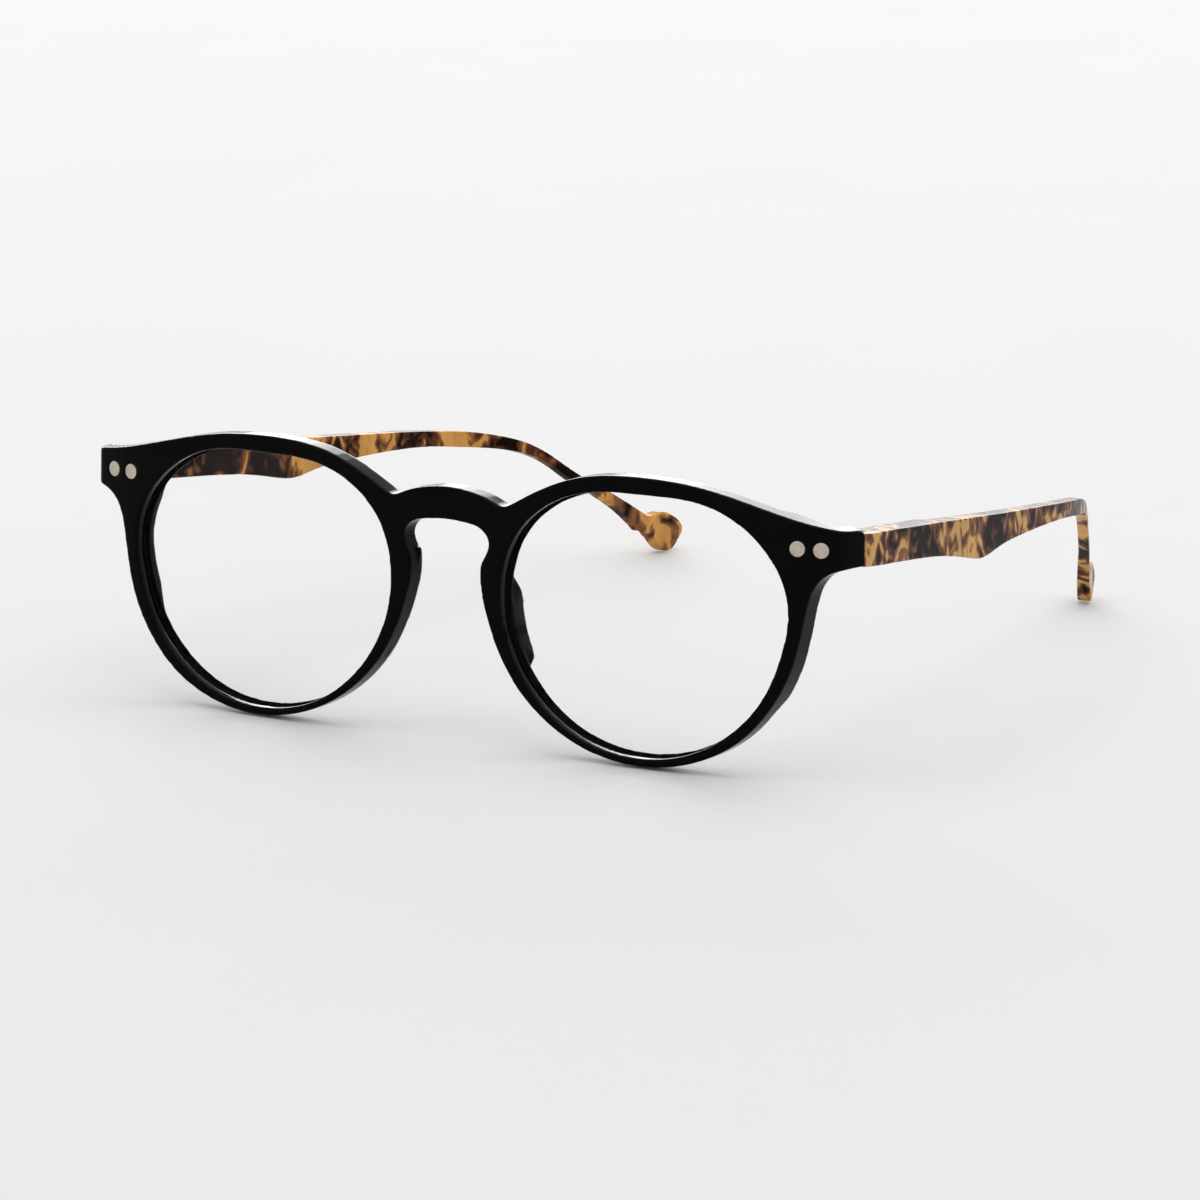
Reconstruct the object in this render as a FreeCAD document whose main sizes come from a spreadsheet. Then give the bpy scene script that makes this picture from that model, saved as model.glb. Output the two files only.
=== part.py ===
import FreeCAD, Part
import math
import os
from FreeCAD import Placement, Rotation, Vector

# Reading glasses with two folding temples.
#
# Everything is drawn in the plane of the front: X runs to the wearer's left, Y runs back
# towards the ears, Z runs up the front, and the origin is the middle of the bridge.
# The finished pieces are then tilted and lifted together, so that the glasses stand on
# the lowest points of their rims and temple tips, with the origin under their middle.

doc = FreeCAD.newDocument("reading_glasses")

# ---------------------------------------------------------------- driving dimensions

SIZES = {
    # lens openings
    "lens_centre_x": 33.3,
    "lens_centre_z": -5.85,
    "opening_radius": 21.96,
    "opening_lift": 0.71,
    "opening_oval": 1.84,
    "opening_brow": 0.84,
    "opening_square": 0.26,
    # lenses of +1.00 dioptre: front and back radii, middle thickness, depth behind the face
    "lens_front_radius": 250.0,
    "lens_back_radius": 510.0,
    "lens_thickness": 1.9,
    "lens_setback": 1.0,
    "lens_seat_y": 3.35,
    "lens_lip": 0.5,
    "seat_step": 0.35,
    # front
    "rim_depth": 3.8,
    "face_radius": 730.0,
    "sweep_start": 54.0,
    "sweep_rate": 0.02,
    "front_half_width": 66.9,
    "corner_setback": 2.0,
    "return_back": 8.1,
    "return_thickness": 2.2,
    "blank_height": 60.0,
    "blank_ahead": 10.0,
    "blank_behind": 20.0,
    # hinge
    "pin_x": 62.9,
    "pin_y": 9.7,
    "pin_z": 8.2,
    "pin_radius": 0.7,
    "barrel_radius": 1.35,
    "barrel_height": 4.2,
    "middle_barrel_height": 1.5,
    "running_gap": 0.05,
    "leaf_front": 7.1,
    "leaf_thickness": 0.8,
    "leaf_inner_x": 56.6,
    "leaf_height": 3.2,
    "leaf_arm_width": 1.8,
    "screw_head_height": 0.5,
    "screw_slot_width": 0.3,
    "pad_lean": 72.0,
    # rivets
    "rivet_inner_x": 58.5,
    "rivet_outer_x": 62.05,
    "rivet_z": 8.25,
    "rivet_head_radius": 1.3,
    "rivet_head_thickness": 0.5,
    "rivet_head_sunk": 0.3,
    "rivet_shank_radius": 0.6,
    "rivet_bevel_width": 0.33,
    "rivet_bevel_height": 0.13,
    # temple
    "temple_toe_in": 4.5,
    "temple_slope": 5.0,
    "block_thickness": 4.5,
    "block_end": 36.5,
    "block_flare": 0.35,
    "step_slant": 1.1,
    # spring mechanism inside the temple, along the temple's own direction
    "mechanism_offset": 1.85,
    "case_start": 3.2,
    "case_length": 19.0,
    "case_width": 2.9,
    "case_height": 3.2,
    "case_wall": 0.4,
    "slider_start": 1.7,
    "slider_length": 5.6,
    "slider_travel": 1.9,
    "slider_height": 1.9,
    "slider_width": 1.6,
    "neck_middle": 1.3,
    "neck_length": 1.7,
    "neck_height": 1.2,
    "rod_radius": 0.3,
    "rod_socket": 2.0,
    "rod_head_length": 0.6,
    "rod_length": 11.0,
    "stop_thickness": 0.8,
    "spring_radius": 0.62,
    "spring_wire_radius": 0.15,
    "spring_length": 6.2,
    "spring_pitch": 0.8,
    "spring_clear": 0.02,
    # hollows of the temple round the hinge
    "knuckle_room_width": 4.0,
    "knuckle_room_length": 6.0,
    "knuckle_room_forward": 0.4,
    "slider_room_length": 4.3,
    "slider_room_middle": 2.45,
    "slider_room_clearance": 0.3,
    # stance of the finished glasses
    "stand_tilt": 2.224,
    "stand_back": -72.07,
    "stand_height": 27.32,
}

sheet = doc.addObject("Spreadsheet::Sheet", "Sizes")
for row, (alias, value) in enumerate(SIZES.items(), start=1):
    sheet.set("A%d" % row, alias)
    sheet.set("B%d" % row, str(value))
    sheet.setAlias("B%d" % row, alias)
doc.recompute()


def size(alias):
    """The value of one driving dimension."""
    return float(sheet.get(alias))


def bind(obj, **expressions):
    """Bind properties of an object to cells of the sheet; word names stand for aliases."""
    for prop, expression in expressions.items():
        obj.setExpression(prop.replace("__", "."), expression)
    return obj


# ---------------------------------------------------------------- small helpers

XZ_PLANE = Placement(Vector(0, 0, 0), Rotation(Vector(1, 0, 0), 90))
YZ_PLANE = Placement(Vector(0, 0, 0), Rotation(Vector(1, 1, 1), 120))
XY_PLANE = Placement()


def curve(points, closed=False):
    """A smooth curve through points of a sketch plane."""
    spline = Part.BSplineCurve()
    spline.interpolate(Points=[Vector(u, v, 0) for u, v in points], PeriodicFlag=closed)
    return spline


def line(start, end):
    return Part.LineSegment(Vector(*start, 0), Vector(*end, 0))


def arc(start, middle, end):
    return Part.Arc(Vector(*start, 0), Vector(*middle, 0), Vector(*end, 0))


def sketch(name, plane, geometry):
    """A sketch of one or more closed outlines on a plane."""
    outline = doc.addObject("Sketcher::SketchObject", name)
    outline.Placement = plane
    outline.addGeometry(geometry, False)
    return outline


def extrusion(name, outline, forward, reverse="0"):
    """A solid drawn out from a sketch, both ways from its plane."""
    solid = doc.addObject("Part::Extrusion", name)
    solid.Base = outline
    solid.DirMode = "Normal"
    solid.Solid = True
    return bind(solid, LengthFwd=forward, LengthRev=reverse)


def join(name, kind, *shapes):
    """One boolean of two or more objects: Cut, MultiFuse or MultiCommon."""
    result = doc.addObject("Part::" + kind, name)
    if kind == "Cut":
        result.Base, result.Tool = shapes
    else:
        result.Shapes = list(shapes)
        result.Refine = True
    return result


def mirrored(points):
    """A run of points on one side of X = 0, continued on the other side."""
    return [(-x, z) for x, z in reversed(points)] + [p for p in points if p[0] > 0]


def cylinder(name, radius, height, position, along=Vector(0, 0, 1)):
    """A cylinder whose base is at a position and whose axis points along a direction."""
    rod = doc.addObject("Part::Cylinder", name)
    rod.Placement = Placement(position, Rotation(Vector(0, 0, 1), along))
    return bind(rod, Radius=radius, Height=height)


def box(name, length, width, height, centre, turn=Rotation()):
    """A box on its centre; its width lies along Y before it is turned."""
    block = doc.addObject("Part::Box", name)
    bind(block, Length=length, Width=width, Height=height)
    doc.recompute()
    half = Vector(block.Length.Value / 2, block.Width.Value / 2, block.Height.Value / 2)
    block.Placement = Placement(centre - turn.multVec(half), turn)
    return block


# ---------------------------------------------------------------- outlines of the front

def face_depth(x):
    """How far the front surface lies back at a distance x from the middle."""
    bow = x * x / (2 * size("face_radius"))
    sweep = max(0.0, abs(x) - size("sweep_start"))
    return bow + sweep * sweep * size("sweep_rate") / 2


def opening(lip, count=12):
    """Points round one lens opening, moved outwards by a lip."""
    points = []
    for step in range(count):
        angle = 2 * math.pi * step / count
        reach = size("opening_radius") + lip
        reach += size("opening_lift") * math.sin(angle)
        reach += size("opening_oval") * math.cos(2 * angle)
        reach += size("opening_brow") * math.sin(3 * angle)
        reach -= size("opening_square") * math.cos(4 * angle)
        points.append((size("lens_centre_x") + reach * math.cos(angle),
                       size("lens_centre_z") + reach * math.sin(angle)))
    return points


BROW = [(0, 12.0), (4, 11.6), (7.6, 10.55), (9.7, 9.9), (11.5, 10.6), (14.5, 12.3),
        (22, 15.4), (32, 16.5), (42, 15.9), (54, 13.3), (62, 11.6), (65.6, 11.2)]
UNDERSIDE = [(66.9, 5.8), (65, 5.4), (62.6, 4.3), (61.0, 2.4), (60.05, -0.5), (59.2, -5),
             (57.65, -10.8), (54.4, -16.8), (49.8, -21.75), (43.95, -25.1), (37, -26.9),
             (30, -26.8), (23, -24.85), (16.7, -21.1), (12.05, -16.4), (9.0, -11.3), (7.1, -6.3),
             (6.1, -1.5), (6.4, 1.2), (7.3, 3.0), (7.3, 4.7), (6.0, 6.1), (3.5, 6.75), (0, 7.0)]


ROUND_CORNER = 0.35     # how far the middle of the endpiece's top corner is cut in
CORNER_KNEE = (0.5, 0.35)   # from the shoulder of the endpiece, outwards and back
CORNER_CHEEK = (0.85, 1.0)  # where the rounded corner runs into the side wall


def front_outline():
    """The front seen from ahead: brow, endpieces, rims and keyhole bridge."""
    end = size("front_half_width")
    brow_end, under_end = BROW[-1], UNDERSIDE[0]
    corner = (end - ROUND_CORNER, brow_end[1] - ROUND_CORNER)
    down = (end, brow_end[1] - 1.2)
    geometry = [curve(mirrored(BROW)), curve(mirrored(UNDERSIDE[::-1]))]
    for side in (1, -1):
        flip = lambda p: (side * p[0], p[1])
        geometry.append(arc(flip(brow_end), flip(corner), flip(down)))
        geometry.append(line(flip(down), flip(under_end)))
    return geometry


def front_plan():
    """The front seen from above: bowed face, swept endpieces and their returns."""
    end = size("front_half_width")
    start = size("sweep_start")
    depth = size("rim_depth")
    back = size("return_back")
    inner = end - size("return_thickness")
    seat = size("leaf_front")
    face = lambda x: (x, face_depth(x))
    middle = (start + end - size("corner_setback")) / 2
    rim_back = (start, face_depth(start) + depth)
    seat_start = (size("leaf_inner_x") - 1.0, seat)
    geometry = [arc(face(-start), face(0), face(start))]
    geometry.append(arc((-rim_back[0], rim_back[1]), (0, depth), rim_back))
    for side in (1, -1):
        flip = lambda p: (side * p[0], p[1])
        shoulder_x = end - size("corner_setback")
        shoulder = (shoulder_x, face_depth(shoulder_x))
        knee = (shoulder[0] + CORNER_KNEE[0], shoulder[1] + CORNER_KNEE[1])
        cheek = (shoulder[0] + CORNER_CHEEK[0], shoulder[1] + CORNER_CHEEK[1])
        run = [rim_back, seat_start, (inner, seat), (inner, back), (end, back), cheek]
        geometry.append(arc(flip(face(start)), flip(face(middle)), flip(shoulder)))
        geometry.append(arc(flip(shoulder), flip(knee), flip(cheek)))
        geometry += [line(flip(a), flip(b)) for a, b in zip(run, run[1:])]
    return geometry


elevation = extrusion("front_elevation",
                      sketch("front_outline", XZ_PLANE, front_outline()),
                      "Sizes.blank_ahead", "Sizes.blank_behind")
plan = extrusion("front_plan_slab", sketch("front_plan", XY_PLANE, front_plan()),
                 "Sizes.blank_height / 2", "Sizes.blank_height / 2")
front_blank = join("front_blank", "MultiCommon", elevation, plan)


# ---------------------------------------------------------------- lenses

def lens_solid(name, lip):
    """A meniscus lens for the wearer's left eye, cut to the opening plus a lip."""
    outline = sketch(name + "_outline", XZ_PLANE, [curve(opening(lip), closed=True)])
    blank = extrusion(name + "_blank", outline, "0 mm", "Sizes.blank_behind")
    x, z = size("lens_centre_x"), size("lens_centre_z")
    slope = math.atan(x / size("face_radius"))
    normal = Vector(-math.sin(slope), math.cos(slope), 0)
    vertex = Vector(x, face_depth(x) + size("lens_setback"), z)
    front = doc.addObject("Part::Sphere", name + "_front_ball")
    back = doc.addObject("Part::Sphere", name + "_back_ball")
    bind(front, Radius="Sizes.lens_front_radius")
    bind(back, Radius="Sizes.lens_back_radius")
    front.Placement.Base = vertex + normal * size("lens_front_radius")
    back.Placement.Base = vertex + normal * (size("lens_thickness") + size("lens_back_radius"))
    domed = join(name + "_domed", "MultiCommon", blank, front)
    return join(name, "Cut", domed, back)


lens = lens_solid("lens_shape", size("lens_lip"))


# ---------------------------------------------------------------- mirror and mechanism frames

def mirror(name, source):
    """The same piece for the wearer's other side."""
    image = doc.addObject("Part::Mirroring", name)
    image.Source = source
    image.Normal = Vector(1, 0, 0)
    return image


pin = Vector(size("pin_x"), size("pin_y"), size("pin_z"))
toe_in = Rotation(Vector(0, 0, 1), size("temple_toe_in"))
slope = Rotation(Vector(1, 0, 0), -size("temple_slope"))
along_temple = toe_in * slope


def inside(offset, along, up=0.0):
    """A point given sideways, along and across the temple, measured from the hinge pin."""
    return pin + along_temple.multVec(Vector(offset, along, up))


backwards = along_temple.multVec(Vector(0, 1, 0))
shift = size("mechanism_offset")


# ---------------------------------------------------------------- nose pads

# middle x and z, distance behind the rim, half height and half thickness of each section
PAD_SECTIONS = [(8.9, -7.0, -1.2, 9.4, 1.2), (9.5, -7.3, 0.6, 8.7, 1.15),
                (10.2, -7.6, 1.9, 7.2, 1.0), (10.7, -7.8, 2.7, 5.2, 0.75),
                (10.9, -7.9, 3.1, 2.8, 0.4)]


def nose_pad(name):
    """A pad moulded behind the nasal rim, thinning and leaning outwards as it goes back."""
    sections = []
    depth = size("rim_depth")
    lean = Rotation(Vector(0, 1, 0), size("pad_lean"))
    for part, (x, z, back, tall, thin) in enumerate(PAD_SECTIONS):
        ring = doc.addObject("Part::Ellipse", "%s_section_%d" % (name, part))
        ring.MajorRadius = tall
        ring.MinorRadius = thin
        ring.Placement = Placement(Vector(x, depth + back, z), lean * XZ_PLANE.Rotation)
        sections.append(ring)
    pad = doc.addObject("Part::Loft", name)
    pad.Sections = sections
    pad.Solid = True
    return pad


pad = nose_pad("nose_pad_shape")

# ---------------------------------------------------------------- rivets

def rivet(name, alias):
    """A flat-headed pin through the endpiece, with a bevelled head and a clinched tail."""
    x = size(alias)
    lean = math.atan((face_depth(x + 0.5) - face_depth(x - 0.5)))
    normal = Vector(math.sin(lean), -math.cos(lean), 0)
    seat = Vector(x, face_depth(x), size("rivet_z"))
    head = cylinder(name + "_head", "Sizes.rivet_head_radius", "Sizes.rivet_head_thickness",
                    seat - normal * size("rivet_head_sunk"), normal)
    bevel = doc.addObject("Part::Chamfer", name + "_bevel")
    doc.recompute()
    rim = [n for n, e in enumerate(head.Shape.Edges, 1)
           if isinstance(e.Curve, Part.Circle) and (e.CenterOfMass - seat).dot(normal) > 0]
    bevel.Base = head
    bevel.Edges = [(n, size("rivet_bevel_height"), size("rivet_bevel_width")) for n in rim]
    leaf_back = size("leaf_front") + size("leaf_thickness")
    foot = Vector(x, leaf_back, size("rivet_z"))
    shank = cylinder(name + "_shank", "Sizes.rivet_shank_radius", "1 mm", foot,
                     Vector(0, -1, 0))
    shank.setExpression("Height", "%s mm" % round(leaf_back - face_depth(x), 3))
    return join(name, "MultiFuse", bevel, shank)


rivets = {"inner_rivet": rivet("inner_rivet_shape", "rivet_inner_x"),
          "outer_rivet": rivet("outer_rivet_shape", "rivet_outer_x")}

# ---------------------------------------------------------------- finished front


def opening_tools():
    """The lens opening: its full size ahead of the lens, and a rear lip that keeps it in."""
    slope = math.atan(size("lens_centre_x") / size("face_radius"))
    middle = Vector(size("lens_centre_x"), size("lens_seat_y"), 0)
    lean = Rotation(Vector(0, 0, 1), math.degrees(slope))
    seat_plane = Placement(middle - lean.multVec(Vector(middle.x, 0, 0)), lean * XZ_PLANE.Rotation)
    ahead = extrusion("opening_ahead", sketch("opening_outline", seat_plane,
                                              [curve(opening(0), closed=True)]),
                      "Sizes.blank_ahead")
    ahead.DirMode = "Custom"
    ahead.Dir = Vector(0, -1, 0)
    behind = extrusion("opening_behind",
                       sketch("rear_lip_outline", XZ_PLANE,
                              [curve(opening(-size("seat_step")), closed=True)]),
                       "Sizes.blank_ahead", "Sizes.blank_behind")
    return [ahead, behind]


doc.recompute()
front_solid = join("front_with_pads", "MultiFuse", front_blank, pad, mirror("pad_mirror", pad))
cutters = opening_tools() + [lens] + list(rivets.values())
tools = join("front_tools", "MultiFuse", *(cutters + [mirror(c.Name + "_image", c) for c in cutters]))
front = join("front_shape", "Cut", front_solid, tools)

# ---------------------------------------------------------------- hinge

def barrel(name, low, high, radius="Sizes.barrel_radius"):
    """A hinge barrel round the pin between two heights above its middle."""
    return cylinder(name, radius, "%s mm" % round(high - low, 3), pin + Vector(0, 0, low))


half_barrel = size("barrel_height") / 2
half_middle = size("middle_barrel_height") / 2
gap = size("running_gap")


def front_hinge():
    """The leaf riveted behind the endpiece, with an upper and a lower barrel."""
    y = size("leaf_front") + size("leaf_thickness") / 2
    outer_x = size("pin_x") + size("leaf_arm_width") / 2
    plate = box("leaf_plate", "Sizes.pin_x + Sizes.leaf_arm_width / 2 - Sizes.leaf_inner_x",
                "Sizes.leaf_thickness", "Sizes.leaf_height",
                Vector((size("leaf_inner_x") + outer_x) / 2, y, size("pin_z")))
    upper = barrel("leaf_upper_barrel", half_middle + gap, half_barrel)
    lower = barrel("leaf_lower_barrel", -half_barrel, -half_middle - gap)
    reach = size("pin_y") - size("leaf_front")
    arm_height = half_barrel - half_middle - gap
    arms = [box("leaf_arm_%d" % n, "Sizes.leaf_arm_width", "Sizes.pin_y - Sizes.leaf_front",
                "(Sizes.barrel_height - Sizes.middle_barrel_height) / 2 - Sizes.running_gap",
                Vector(size("pin_x"), size("pin_y") - reach / 2,
                       size("pin_z") + side * (half_barrel - arm_height / 2)))
            for n, side in enumerate((1, -1))]
    solid = join("leaf_solid", "MultiFuse", plate, upper, lower, *arms)
    bore = cylinder("leaf_bore", "Sizes.pin_radius + Sizes.running_gap / 2",
                    "Sizes.barrel_height", pin - Vector(0, 0, half_barrel))
    holes = [cylinder("leaf_hole_%d" % n, "Sizes.rivet_shank_radius", "Sizes.leaf_thickness",
                      Vector(size(alias), size("leaf_front"), size("rivet_z")), Vector(0, 1, 0))
             for n, alias in enumerate(("rivet_inner_x", "rivet_outer_x"))]
    return join("front_hinge_shape", "Cut", solid,
                join("leaf_cuts", "MultiFuse", bore, *holes))


def hinge_screw():
    """A slotted pin screw through all the barrels."""
    top = pin + Vector(0, 0, half_barrel)
    shank = cylinder("screw_shank", "Sizes.pin_radius", "Sizes.barrel_height",
                     pin - Vector(0, 0, half_barrel))
    head = cylinder("screw_head", "Sizes.barrel_radius - 3 * Sizes.running_gap",
                    "Sizes.screw_head_height", top)
    slot = box("screw_slot", "3 * Sizes.barrel_radius", "Sizes.screw_slot_width",
               "Sizes.screw_head_height", top + Vector(0, 0, size("screw_head_height")))
    return join("hinge_screw_shape", "Cut", join("screw_solid", "MultiFuse", shank, head), slot)


slider_end = size("slider_start") + size("slider_length")
rod_start = slider_end - size("rod_socket")
stop_start = slider_end + size("slider_travel")


def hinge_slider():
    """The middle barrel on a block that slides in the temple's spring case."""
    middle = barrel("slider_barrel", -half_middle, half_middle)
    block = box("slider_block", "Sizes.slider_width", "Sizes.slider_length", "Sizes.slider_height",
                inside(shift, size("slider_start") + size("slider_length") / 2), along_temple)
    neck = box("slider_neck", "Sizes.mechanism_offset", "Sizes.neck_length", "Sizes.neck_height",
               inside(shift / 2, size("neck_middle")), along_temple)
    bore = cylinder("slider_bore", "Sizes.pin_radius + Sizes.running_gap / 2",
                    "2 * Sizes.barrel_height", pin - Vector(0, 0, size("barrel_height")))
    socket = cylinder("slider_socket", "Sizes.rod_radius", "Sizes.rod_socket",
                      inside(shift, rod_start), backwards)
    solid = join("slider_solid", "MultiFuse", middle, block, neck)
    return join("hinge_slider_shape", "Cut", solid, join("slider_cuts", "MultiFuse", bore, socket))


def spring_rod():
    """The rod screwed into the slider, with a head that the spring pushes against."""
    shank = cylinder("rod_shank", "Sizes.rod_radius", "Sizes.rod_length", inside(shift, rod_start), backwards)
    head = cylinder("rod_head", "Sizes.spring_radius + Sizes.spring_wire_radius",
                    "Sizes.rod_head_length", inside(shift, rod_start + size("rod_length")),
                    backwards)
    return join("spring_rod_shape", "MultiFuse", shank, head)


def spring_stop():
    """The plate fixed across the case, which the rod slides through."""
    plate = box("stop_plate", "Sizes.case_width - 2 * Sizes.case_wall", "Sizes.stop_thickness",
                "Sizes.case_height - 2 * Sizes.case_wall",
                inside(shift, stop_start + size("stop_thickness") / 2), along_temple)
    bore = cylinder("stop_bore", "Sizes.rod_radius + Sizes.running_gap", "Sizes.stop_thickness",
                    inside(shift, stop_start), backwards)
    return join("spring_stop_shape", "Cut", plate, bore)


def hinge_spring():
    """The coil round the rod, between the stop and the rod's head."""
    helix = doc.addObject("Part::Helix", "spring_path")
    bind(helix, Radius="Sizes.spring_radius", Pitch="Sizes.spring_pitch",
         Height="Sizes.spring_length - 2 * Sizes.spring_wire_radius")
    wire = doc.addObject("Part::Circle", "spring_wire")
    bind(wire, Radius="Sizes.spring_wire_radius")
    wire.Placement = Placement(Vector(size("spring_radius"), 0, 0), Rotation(Vector(1, 0, 0), 90))
    coil = doc.addObject("Part::Sweep", "hinge_spring_shape")
    coil.Sections = [wire]
    coil.Spine = (helix, ["Edge1"])
    coil.Solid = True
    coil.Frenet = True
    begin = stop_start + size("stop_thickness") + size("spring_wire_radius") + size("spring_clear")
    coil.Placement = Placement(inside(shift, begin), Rotation(Vector(0, 0, 1), backwards))
    return coil


def spring_case():
    """The metal case moulded into the temple, open at the hinge end."""
    middle = size("case_start") + size("case_length") / 2
    outer = box("case_outer", "Sizes.case_width", "Sizes.case_length", "Sizes.case_height",
                inside(shift, middle), along_temple)
    bore = box("case_bore", "Sizes.case_width - 2 * Sizes.case_wall", "Sizes.case_length",
               "Sizes.case_height - 2 * Sizes.case_wall",
               inside(shift, middle - size("case_wall")), along_temple)
    return outer, join("spring_case_shape", "Cut", outer, bore)


# ---------------------------------------------------------------- temples

ARM_TOP = [(8.2, 10.6), (25, 9.3), (42.5, 7.9), (61, 6.3), (74, 5.25), (86, 4.3), (94, 3.55),
           (101, 2.75), (105.5, 1.95), (109, 1.15), (112.5, 0.1), (115.3, -1.1), (118.5, -2.95),
           (123, -6.0), (128, -8.95), (133, -12.1), (137.2, -14.9)]
PADDLE = [(137.2, -14.9), (139.0, -15.15), (140.9, -14.75), (142.4, -15.4), (144.5, -17.0),
          (144.9, -18.2), (144.1, -19.7), (142.8, -21.3), (141.9, -21.7), (140.7, -21.2),
          (136.6, -17.9)]
ARM_BOTTOM = [(136.6, -17.9), (134.0, -15.3), (130.1, -12.2), (123.0, -7.8), (118.3, -4.5),
              (114.5, -2.6), (110.5, -1.4), (105.5, -0.5), (99, 0.3), (92.5, 1.05), (86, 1.45),
              (79.3, 1.6), (68, 1.5), (60, 0.95), (56.5, 0.45), (53, 0.35), (48, 1.2),
              (42.5, 2.2), (36, 3.15), (25, 4.2), (8.2, 5.6)]
# outer face of the temple from above, with the arm's thickness at each place
ARM_PLAN = [(66.9, 8.15, 3.4), (65.6, 30, 3.2), (64.0, 53, 3.0), (62.2, 75, 2.7), (60.3, 91, 2.4),
            (58.0, 101, 2.15), (54.4, 111, 1.95), (51.0, 119.5, 1.85), (46.5, 130.2, 1.85),
            (43.2, 138, 2.2), (40.6, 146, 2.6)]


def temple_side():
    """The temple seen from the side: block, step under the arm, ear bend and paddle."""
    return [curve(ARM_TOP), curve(PADDLE), curve(ARM_BOTTOM), line(ARM_BOTTOM[-1], ARM_TOP[0])]


def temple_plan():
    """The temple seen from above: outer face, thick hinge block and slim curved arm."""
    outer = [Vector(x, y, 0) for x, y, thickness in ARM_PLAN]
    block, block_end = size("block_thickness"), size("block_end")
    neighbours = zip([outer[0]] + outer, outer, outer[1:] + [outer[-1]], ARM_PLAN)
    inner = []
    for before, here, after, (x, y, thickness) in neighbours:
        way = (after - before).normalize()
        if y > block_end:
            inner.append((x - way.y * thickness, y + way.x * thickness))
    hinge_corner = (outer[0].x - block, outer[0].y)
    step_out = (outer[1].x - block - size("block_flare"), block_end)
    step_in = (outer[1].x - ARM_PLAN[1][2] - size("step_slant") / 2, block_end + size("step_slant"))
    arm_inner = [step_in] + inner
    arm_outer = [(x, y) for x, y, thickness in ARM_PLAN]
    return [curve(arm_outer), line(arm_outer[-1], arm_inner[-1]), curve(arm_inner[::-1]),
            line(step_in, step_out), line(step_out, hinge_corner), line(hinge_corner, arm_outer[0])]


def temple(case_outer):
    """The moulded temple, hollowed for the spring case and cut back round the hinge."""
    side = extrusion("temple_side_slab", sketch("temple_side", YZ_PLANE, temple_side()),
                     "Sizes.front_half_width + Sizes.block_thickness")
    top = extrusion("temple_plan_slab", sketch("temple_plan", XY_PLANE, temple_plan()),
                    "Sizes.blank_height / 2", "Sizes.blank_height / 2")
    blank = join("temple_blank", "MultiCommon", side, top)
    knuckle_room = box("knuckle_room", "Sizes.knuckle_room_width", "Sizes.knuckle_room_length",
                       "3 * Sizes.barrel_height",
                       pin - Vector(size("running_gap"), size("knuckle_room_forward"), 0))
    slider_room = box("slider_room", "Sizes.slider_width + Sizes.slider_room_clearance",
                      "Sizes.slider_room_length",
                      "Sizes.slider_height + Sizes.slider_room_clearance",
                      inside(shift, size("slider_room_middle")), along_temple)
    rooms = join("temple_rooms", "MultiFuse", knuckle_room, slider_room, case_outer)
    return join("temple_shape", "Cut", blank, rooms)


case_outer, case_shape = spring_case()
pieces = {
    "lens": lens,
    "inner_rivet": rivets["inner_rivet"],
    "outer_rivet": rivets["outer_rivet"],
    "front_hinge": front_hinge(),
    "hinge_screw": hinge_screw(),
    "hinge_slider": hinge_slider(),
    "spring_rod": spring_rod(),
    "spring_stop": spring_stop(),
    "hinge_spring": hinge_spring(),
    "spring_case": case_shape,
    "temple": temple(case_outer),
}

# ---------------------------------------------------------------- finished nodes

nodes = []


def node(name, source, flipped=False):
    """One finished piece in the standing frame, under the name of its file."""
    kind = "Part::Mirroring" if flipped else "Part::Refine"
    piece = doc.addObject(kind, name)
    piece.Source = source
    if flipped:
        piece.Normal = Vector(1, 0, 0)
    piece.Label = name
    piece.Placement = Placement(Vector(0, 0, 0), Rotation(Vector(-1, 0, 0), size("stand_tilt")))
    piece.setExpression("Placement.Base.y", "Sizes.stand_back * 1 mm")
    piece.setExpression("Placement.Base.z", "Sizes.stand_height * 1 mm")
    nodes.append(piece)


node("front_frame", front)
for label, source in pieces.items():
    node("left_" + label, source)
    node("right_" + label, source, flipped=True)

doc.recompute()

faults = []
for obj in doc.Objects:
    if "Invalid" in obj.State or "Error" in obj.State:
        faults.append("%s: %s" % (obj.Name, obj.State))
for piece in nodes:
    if piece.Shape.isNull() or not piece.Shape.isValid():
        faults.append("%s has no valid shape" % piece.Label)
if faults:
    raise RuntimeError("; ".join(faults))

os.makedirs("parts", exist_ok=True)
for piece in nodes:
    piece.Shape.exportStep(os.path.join("parts", piece.Label + ".step"))
    span = piece.Shape.BoundBox
    print("%-22s solids %d  volume %9.3f  x %7.2f..%7.2f  y %7.2f..%7.2f  z %7.2f..%7.2f"
          % (piece.Label, len(piece.Shape.Solids), piece.Shape.Volume, span.XMin, span.XMax,
             span.YMin, span.YMax, span.ZMin, span.ZMax))
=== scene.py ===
import math

import bmesh
import bpy
from mathutils import Matrix, Vector


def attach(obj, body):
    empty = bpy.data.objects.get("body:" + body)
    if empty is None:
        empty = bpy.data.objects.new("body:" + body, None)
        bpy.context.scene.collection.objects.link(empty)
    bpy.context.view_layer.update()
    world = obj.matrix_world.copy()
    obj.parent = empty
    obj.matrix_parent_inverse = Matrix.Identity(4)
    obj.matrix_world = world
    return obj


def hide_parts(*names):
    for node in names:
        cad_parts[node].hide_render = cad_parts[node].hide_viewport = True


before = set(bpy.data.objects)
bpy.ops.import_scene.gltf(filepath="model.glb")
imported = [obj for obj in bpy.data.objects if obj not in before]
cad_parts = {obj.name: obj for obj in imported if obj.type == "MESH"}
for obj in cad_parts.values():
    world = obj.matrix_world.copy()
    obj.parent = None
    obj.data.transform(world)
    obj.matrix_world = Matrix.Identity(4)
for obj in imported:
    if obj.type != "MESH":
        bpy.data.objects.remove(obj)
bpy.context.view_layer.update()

# Reading glasses: a polished black front, clear lenses, tortoiseshell temples and sprung
# hinges. Metres throughout; lengths named *_MM are millimetres.

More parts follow.
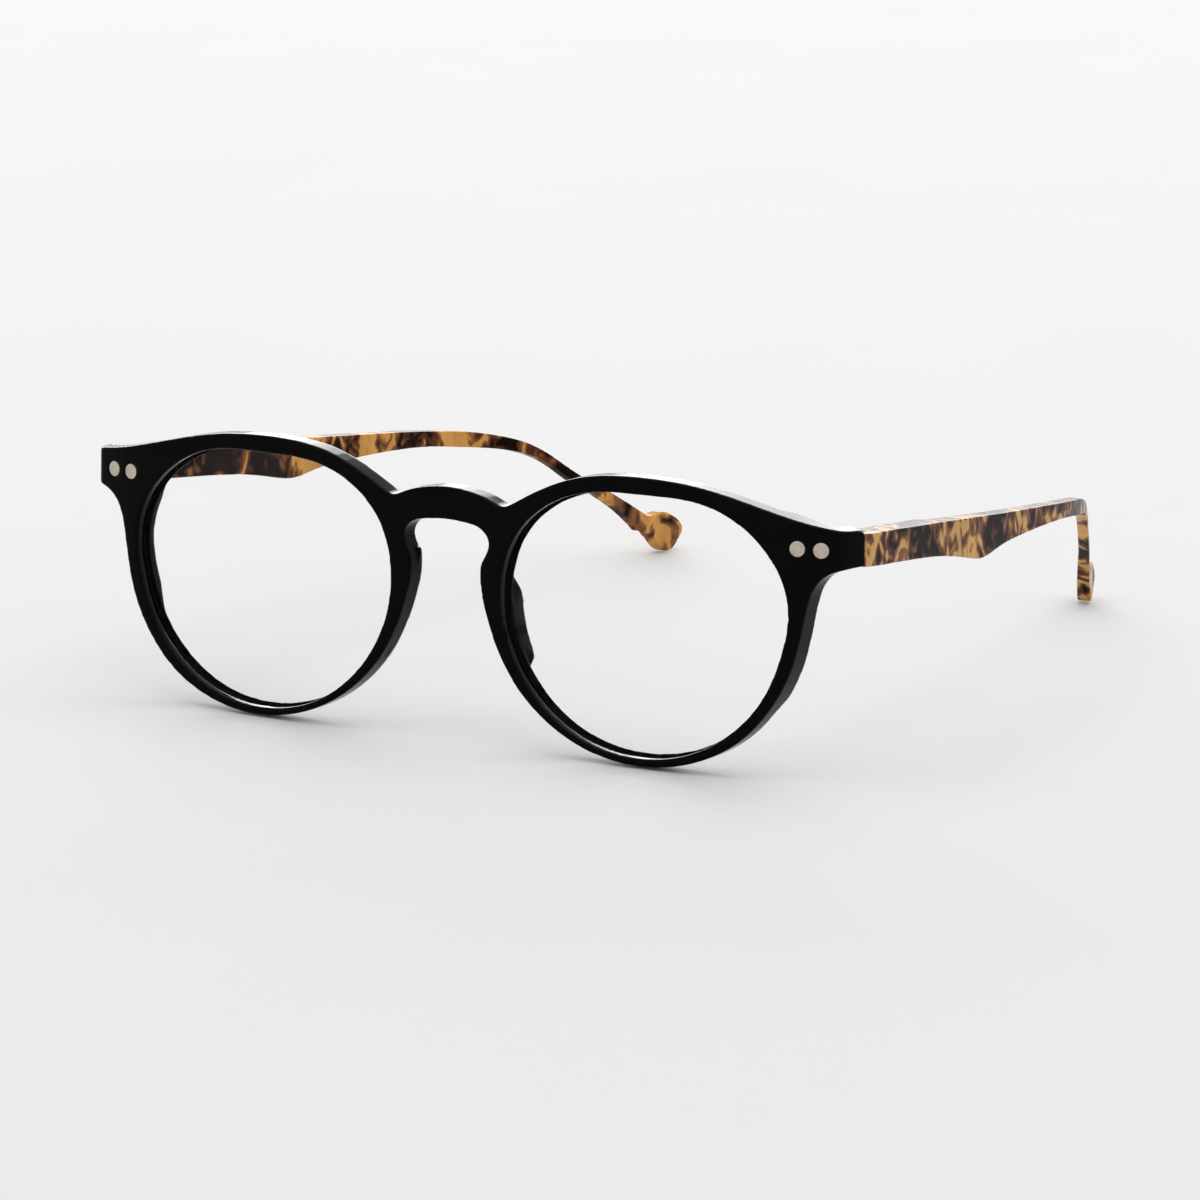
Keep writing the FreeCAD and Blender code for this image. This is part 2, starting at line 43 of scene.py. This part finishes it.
MM = 0.001
SIDES = (("left", 1), ("right", -1))
WHITE = (1, 1, 1)
PLASTIC_INDEX = 1.49
EASE_FACTOR = 0.5
EASE_PASSES = 12


# ---------------------------------------------------------------- meshes

def add_object(name, mesh):
    piece = bpy.data.objects.new(name, mesh)
    bpy.context.scene.collection.objects.link(piece)
    return piece


def shade_smooth(mesh):
    mesh.polygons.foreach_set("use_smooth", [True] * len(mesh.polygons))


def moulded(node, name, voxel_mm, along=(0, 1, 0)):
    """A moulded piece: the node's shape with its edges eased as a tumbled edge is."""
    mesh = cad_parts[node].data.copy()
    mesh.materials.clear()
    straighten = Vector(along).rotation_difference(Vector((0, 1, 0))).to_matrix().to_4x4()
    mesh.transform(straighten @ Matrix.Scale(1 / MM, 4))
    blank = add_object(name + "_blank", mesh)
    remesh = blank.modifiers.new("skin", "REMESH")
    remesh.mode = "VOXEL"
    remesh.voxel_size = voxel_mm
    ease = blank.modifiers.new("ease", "SMOOTH")
    ease.factor = EASE_FACTOR
    ease.iterations = EASE_PASSES
    evaluated = blank.evaluated_get(bpy.context.evaluated_depsgraph_get())
    skin = bpy.data.meshes.new_from_object(evaluated)
    bpy.data.objects.remove(blank)
    skin.transform(Matrix.Scale(MM, 4) @ straighten.inverted())
    shade_smooth(skin)
    return add_object(name, skin)


def finish_piece(piece, body, slot, material, *nodes):
    """Puts a piece on its body, gives it its material, and lets it stand for its nodes."""
    piece.data.materials.clear()
    piece.data.materials.append(material)
    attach(piece, body)
    if nodes:
        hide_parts(*nodes)
    return piece


# ---------------------------------------------------------------- material helpers

class Nodes:
    """A material's node tree with short calls for the nodes this script uses."""

    def __init__(self, name):
        self.material = bpy.data.materials.new(name)
        self.material.use_nodes = True
        self.tree = self.material.node_tree
        self.shader = self.tree.nodes["Principled BSDF"]
        self.place = self.tree.nodes.new("ShaderNodeTexCoord").outputs["Object"]

    def link(self, source, target):
        self.tree.links.new(source, target)

    def mapping(self, scale, turn=(0, 0, 0), shift=(0, 0, 0)):
        node = self.tree.nodes.new("ShaderNodeMapping")
        node.inputs["Scale"].default_value = scale
        node.inputs["Rotation"].default_value = turn
        node.inputs["Location"].default_value = shift
        self.link(self.place, node.inputs["Vector"])
        return node.outputs["Vector"]

    def noise(self, vector, scale, detail=3.0, roughness=0.5, distortion=0.0):
        node = self.tree.nodes.new("ShaderNodeTexNoise")
        node.inputs["Scale"].default_value = scale
        node.inputs["Detail"].default_value = detail
        node.inputs["Roughness"].default_value = roughness
        node.inputs["Distortion"].default_value = distortion
        self.link(vector, node.inputs["Vector"])
        return node.outputs["Fac"]

    def ramp(self, factor, stops, smooth=False):
        node = self.tree.nodes.new("ShaderNodeValToRGB")
        ramp = node.color_ramp
        ramp.interpolation = "EASE" if smooth else "LINEAR"
        while len(ramp.elements) < len(stops):
            ramp.elements.new(0.5)
        for element, (position, colour) in zip(ramp.elements, stops):
            element.position = position
            element.color = (*colour, 1) if len(colour) == 3 else colour
        self.link(factor, node.inputs["Fac"])
        return node.outputs["Color"]

    def mix(self, factor, first, second, kind="MIX"):
        node = self.tree.nodes.new("ShaderNodeMix")
        node.data_type = "RGBA"
        node.blend_type = kind
        for value, socket in ((factor, node.inputs[0]), (first, node.inputs[6]),
                              (second, node.inputs[7])):
            if isinstance(value, (int, float)):
                socket.default_value = value
            elif isinstance(value, tuple):
                socket.default_value = (*value, 1)
            else:
                self.link(value, socket)
        return node.outputs[2]

    def math(self, kind, first, second=0.0):
        node = self.tree.nodes.new("ShaderNodeMath")
        node.operation = kind
        for value, socket in ((first, node.inputs[0]), (second, node.inputs[1])):
            if isinstance(value, (int, float)):
                socket.default_value = value
            else:
                self.link(value, socket)
        return node.outputs[0]

    def span(self, value, low, high, to_low=0.0, to_high=1.0):
        node = self.tree.nodes.new("ShaderNodeMapRange")
        node.inputs["From Min"].default_value = low
        node.inputs["From Max"].default_value = high
        node.inputs["To Min"].default_value = to_low
        node.inputs["To Max"].default_value = to_high
        self.link(value, node.inputs["Value"])
        return node.outputs["Result"]

    def axis(self, letter):
        node = self.tree.nodes.new("ShaderNodeSeparateXYZ")
        self.link(self.place, node.inputs[0])
        return node.outputs[letter]

    def bump(self, height, strength, distance_mm):
        node = self.tree.nodes.new("ShaderNodeBump")
        node.inputs["Strength"].default_value = strength
        node.inputs["Distance"].default_value = distance_mm * MM
        self.link(height, node.inputs["Height"])
        self.link(node.outputs["Normal"], self.shader.inputs["Normal"])

    def set(self, **values):
        for name, value in values.items():
            self.shader.inputs[name.replace("_", " ")].default_value = value


# ---------------------------------------------------------------- materials

def black_plastic():
    """Polished black moulding: a deep colour, handling haze and the finest scratches."""
    n = Nodes("black_front")
    haze = n.noise(n.mapping((1, 1, 1)), 160, 4, 0.6)
    fine = n.noise(n.mapping((1, 1, 3)), 2600, 3, 0.55)
    n.link(n.ramp(haze, [(0.3, (0.0004, 0.0004, 0.0005)), (0.75, (0.0012, 0.0012, 0.0014))]),
           n.shader.inputs["Base Color"])
    rough = n.math("ADD", n.span(haze, 0.3, 0.75, 0.07, 0.13), n.span(fine, 0.35, 0.7, 0.0, 0.03))
    n.link(rough, n.shader.inputs["Roughness"])
    n.set(IOR=PLASTIC_INDEX, Specular_IOR_Level=0.05)
    n.bump(fine, 0.05, 0.015)
    return n.material


# Where the shell is pale (low) and dark (high) along each temple, from hinge to tip.
LEFT_CLOUDS = [
    (0.0, 0.62), (0.06, 0.40), (0.13, 0.52), (0.19, 0.56), (0.235, 0.44),
    (0.29, 0.34), (0.35, 0.60), (0.385, 0.68), (0.43, 0.52), (0.49, 0.54),
    (0.56, 0.46), (0.64, 0.50), (0.72, 0.58), (0.80, 0.52), (0.87, 0.66),
    (0.925, 0.36), (1.0, 0.36),
]
RIGHT_CLOUDS = [
    (0.0, 0.55), (0.15, 0.50), (0.20, 0.62), (0.29, 0.66), (0.345, 0.40),
    (0.42, 0.44), (0.47, 0.56), (0.53, 0.46), (0.60, 0.68), (0.66, 0.36),
    (0.70, 0.64), (0.78, 0.60), (0.83, 0.54), (0.865, 0.40), (0.91, 0.66),
    (0.94, 0.30), (0.975, 0.46), (1.0, 0.30),
]
HINGE_END_Y, TIP_END_Y = -0.065, 0.0735
# The shell's colours from pale to dark.
TORTOISE_BANDS = [(0.32, (0.62, 0.36, 0.13)), (0.375, (0.50, 0.25, 0.075)),
                  (0.383, (0.28, 0.135, 0.060)), (0.480, (0.17, 0.078, 0.042)),
                  (0.488, (0.115, 0.048, 0.027)), (0.605, (0.066, 0.024, 0.014)),
                  (0.613, (0.024, 0.008, 0.006)), (0.68, (0.008, 0.003, 0.0025))]
# The right temple was cut from a warmer part of the sheet.
WARM_TINT = (1.0, 0.86, 0.62)


def tortoise_plastic():
    """Tortoiseshell: honey and amber broken by tan, red-brown and near-black clouds."""
    n = Nodes("tortoise_temple")
    along = n.span(n.axis("Y"), HINGE_END_Y, TIP_END_Y)
    left = n.span(n.axis("X"), -0.001, 0.001)
    layout = n.mix(left,
                   n.ramp(along, [(p, (v, v, v)) for p, v in RIGHT_CLOUDS]),
                   n.ramp(along, [(p, (v, v, v)) for p, v in LEFT_CLOUDS]))
    clouds = n.noise(n.mapping((1.0, 1.0, 0.8), shift=(0.31, 0.12, 0.07)), 105, 1.5, 0.45, 1.0)
    blots = n.noise(n.mapping((1.0, 1.1, 0.9), shift=(0.05, 0.4, 0.2)), 260, 1.5, 0.45, 1.2)
    streaks = n.noise(n.mapping((1.0, 1.8, 0.5)), 360, 2, 0.5, 0.6)
    level = n.math("ADD", layout, n.span(clouds, 0.25, 0.75, -0.25, 0.25))
    level = n.math("ADD", level, n.span(blots, 0.25, 0.75, -0.27, 0.27))
    level = n.math("ADD", level, n.span(streaks, 0.3, 0.7, -0.02, 0.02))
    shell = n.ramp(level, TORTOISE_BANDS)
    shade = n.span(streaks, 0.3, 0.7, 0.78, 1.1)
    shell = n.mix(1.0, shell, shade, "MULTIPLY")
    shell = n.mix(1.0, shell, n.mix(left, WARM_TINT, WHITE), "MULTIPLY")
    n.link(shell, n.shader.inputs["Base Color"])
    haze = n.noise(n.mapping((1, 1, 1)), 500, 3, 0.5)
    n.link(n.span(haze, 0.3, 0.7, 0.19, 0.27), n.shader.inputs["Roughness"])
    n.set(IOR=PLASTIC_INDEX, Specular_IOR_Level=0.035,
          Subsurface_Weight=0.05, Subsurface_Scale=0.0006)
    n.shader.inputs["Subsurface Radius"].default_value = (1.0, 0.45, 0.18)
    n.bump(haze, 0.06, 0.015)
    return n.material


# Low enough that what stands behind a lens isn't shifted, as in the photo.
LENS_INDEX = 1.02
LENS_TINT = (0.992, 0.996, 0.994, 1)


def lens_glass():
    """A clear hard-coated lens with the faintest wipe marks."""
    n = Nodes("clear_lens")
    wipes = n.noise(n.mapping((1, 1, 4), turn=(0, 0.6, 0)), 260, 3, 0.5, 0.4)
    n.link(n.span(wipes, 0.4, 0.9, 0.0, 0.035), n.shader.inputs["Roughness"])
    n.set(Transmission_Weight=1.0, IOR=LENS_INDEX, Coat_Weight=0.12)
    n.shader.inputs["Base Color"].default_value = LENS_TINT
    return n.material


def metal(name, colour, rough, grain_scale, stretch=(1, 1, 1)):
    """Satin metal with a fine grain and slightly uneven polish."""
    n = Nodes(name)
    grain = n.noise(n.mapping(stretch), grain_scale, 3, 0.6)
    cloud = n.noise(n.mapping((1, 1, 1)), 900, 2, 0.5)
    worn = tuple(min(1.0, c * 1.18) for c in colour)
    n.link(n.ramp(cloud, [(0.35, colour), (0.7, worn)]), n.shader.inputs["Base Color"])
    n.link(n.span(grain, 0.3, 0.7, rough * 0.8, rough * 1.25), n.shader.inputs["Roughness"])
    n.set(Metallic=1.0)
    n.bump(grain, 0.12, 0.01)
    return n.material


BLACK = black_plastic()
TORTOISE = tortoise_plastic()
LENS = lens_glass()
RIVET = metal("satin_rivet", (0.50, 0.44, 0.37), 0.36, 5200)
HINGE = metal("nickel_hinge", (0.56, 0.55, 0.53), 0.30, 4200, (1, 1, 6))
SCREW = metal("bright_screw", (0.62, 0.62, 0.63), 0.2, 6000)
SPRING = metal("spring_wire", (0.42, 0.42, 0.44), 0.26, 5000)


# ---------------------------------------------------------------- pieces

FRONT_VOXEL_MM = 0.2
TEMPLE_VOXEL_MM = 0.15
# The line of the left temple's arm, which the voxels are lined up with.
TEMPLE_DIRECTION = (-0.0782, 0.989, -0.1256)

front = moulded("front_frame", "black_front", FRONT_VOXEL_MM)
finish_piece(front, "front", "front_plastic", BLACK, "front_frame")

for side, sign in SIDES:
    straight = (sign * TEMPLE_DIRECTION[0], *TEMPLE_DIRECTION[1:])
    temple = moulded(side + "_temple", side + "_tortoise_temple", TEMPLE_VOXEL_MM, straight)
    finish_piece(temple, side + "_temple_arm", "tortoise_plastic", TORTOISE, side + "_temple")

MACHINED = {
    "inner_rivet": ("rivet_metal", RIVET, "front"),
    "outer_rivet": ("rivet_metal", RIVET, "front"),
    "front_hinge": ("hinge_metal", HINGE, "front"),
    "hinge_screw": ("screw_metal", SCREW, "front"),
    "hinge_slider": ("hinge_metal", HINGE, "_hinge_slide"),
    "spring_rod": ("screw_metal", SCREW, "_hinge_slide"),
    "spring_stop": ("hinge_metal", HINGE, "_temple_arm"),
    "spring_case": ("hinge_metal", HINGE, "_temple_arm"),
}
EDGE_MM = 0.06
SHARP_ANGLE = math.radians(30)


def machined(node, name):
    """A turned or stamped piece: the node's shape with a finely broken edge."""
    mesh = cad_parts[node].data.copy()
    mesh.materials.clear()
    shape = bmesh.new()
    shape.from_mesh(mesh)
    bmesh.ops.dissolve_limit(shape, angle_limit=math.radians(1), verts=shape.verts,
                             edges=shape.edges)
    for edge in shape.edges:
        edge.smooth = edge.is_manifold and edge.calc_face_angle(0.0) < SHARP_ANGLE
    shape.to_mesh(mesh)
    shape.free()
    shade_smooth(mesh)
    piece = add_object(name, mesh)
    ease = piece.modifiers.new("broken_edge", "BEVEL")
    ease.width = EDGE_MM * MM
    ease.segments = 2
    ease.limit_method = "ANGLE"
    ease.angle_limit = SHARP_ANGLE
    ease.harden_normals = True
    return piece


# Rivet heads are drawn a tenth narrower than their nodes, as wide as the photo shows them.
RIVET_SLIM = 0.9


def slim_down(piece):
    """Makes a rivet narrower about its own middle, and no shorter."""
    corners = piece.data.vertices
    middle = sum((v.co for v in corners), Vector()) / len(corners)
    slim = Matrix.Diagonal((RIVET_SLIM, 1, RIVET_SLIM, 1))
    piece.data.transform(Matrix.Translation(middle) @ slim @ Matrix.Translation(-middle))


for side, _ in SIDES:
    for label, (slot, material, body) in MACHINED.items():
        node = side + "_" + label
        rides = body if body == "front" else side + body
        piece = machined(node, node + "_metal")
        if material == RIVET:
            slim_down(piece)
        finish_piece(piece, rides, slot, material, node)
    for label, material in (("lens", LENS), ("hinge_spring", SPRING)):
        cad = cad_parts[side + "_" + label]
        cad.data.materials.clear()
        cad.data.materials.append(material)


# ---------------------------------------------------------------- floor, lights, camera

FLOOR_HALF_WIDTH = 3.0
FLOOR_ROUGHNESS = 0.8
FLOOR_GAP = 0.0001
FLOOR_GREY = (0.60, 0.60, 0.60)
WORLD_STRENGTH = 0.8


def plain(name, colour, rough):
    """A plain matt surface for the studio floor, with a very faint mottle."""
    n = Nodes(name)
    mottle = n.noise(n.mapping((1, 1, 1)), 18, 4, 0.6)
    paler = tuple(min(1.0, c * 1.01) for c in colour)
    n.link(n.ramp(mottle, [(0.3, colour), (0.7, paler)]), n.shader.inputs["Base Color"])
    n.link(n.span(mottle, 0.3, 0.7, rough, rough + 0.05), n.shader.inputs["Roughness"])
    return n.material


def floor():
    """A wide pale sheet that the glasses stand on."""
    mesh = bpy.data.meshes.new("studio_floor")
    sheet = bmesh.new()
    bmesh.ops.create_grid(sheet, x_segments=8, y_segments=8, size=FLOOR_HALF_WIDTH)
    sheet.to_mesh(mesh)
    sheet.free()
    piece = add_object("studio_floor", mesh)
    piece.location.z = -FLOOR_GAP
    mesh.materials.append(plain("pale_floor", FLOOR_GREY, FLOOR_ROUGHNESS))


def area_light(name, place, target, size, power):
    light = bpy.data.lights.new(name, "AREA")
    light.shape = "RECTANGLE"
    light.size, light.size_y = size
    light.energy = power
    lamp = add_object(name, light)
    lamp.location = place
    lamp.rotation_euler = (Vector(target) - Vector(place)).to_track_quat("-Z", "Y").to_euler()


def studio():
    floor()
    middle = (0, 0, 0.02)
    area_light("overhead_soft_box", place=(0.0, 0.0, 2.6), target=middle, size=(3.2, 3.2),
               power=34)
    area_light("back_soft_box", place=(-2.9, 5.2, 1.6), target=middle, size=(8.0, 2.3),
               power=300)
    world = bpy.data.worlds.new("studio")
    world.use_nodes = True
    sky = world.node_tree.nodes["Background"]
    sky.inputs["Color"].default_value = (*WHITE, 1)
    sky.inputs["Strength"].default_value = WORLD_STRENGTH
    bpy.context.scene.world = world
    bpy.context.scene.view_settings.view_transform = "Standard"


CAMERA_AZIMUTH = 29.54
CAMERA_ELEVATION = 12.17
CAMERA_ROLL = 0.21
CAMERA_DISTANCE = 0.92745
CAMERA_LENS_MM = 187.07
CAMERA_TARGET = (0.02701, -0.07216, 0.02493)


def camera():
    """A long lens at the height and side of a shop photograph."""
    data = bpy.data.cameras.new("camera")
    data.lens = CAMERA_LENS_MM
    data.sensor_width = 36.0
    eye = add_object("camera", data)
    side, rise = math.radians(CAMERA_AZIMUTH), math.radians(CAMERA_ELEVATION)
    back = Vector((math.sin(side) * math.cos(rise),
                   -math.cos(side) * math.cos(rise),
                   math.sin(rise)))
    eye.location = Vector(CAMERA_TARGET) + back * CAMERA_DISTANCE
    look = (-back).to_track_quat("-Z", "Y").to_matrix()
    roll = Matrix.Rotation(math.radians(CAMERA_ROLL), 3, "Z")
    eye.rotation_euler = (look @ roll).to_euler()
    data.clip_start, data.clip_end = 0.01, 20
    bpy.context.scene.camera = eye


studio()
camera()
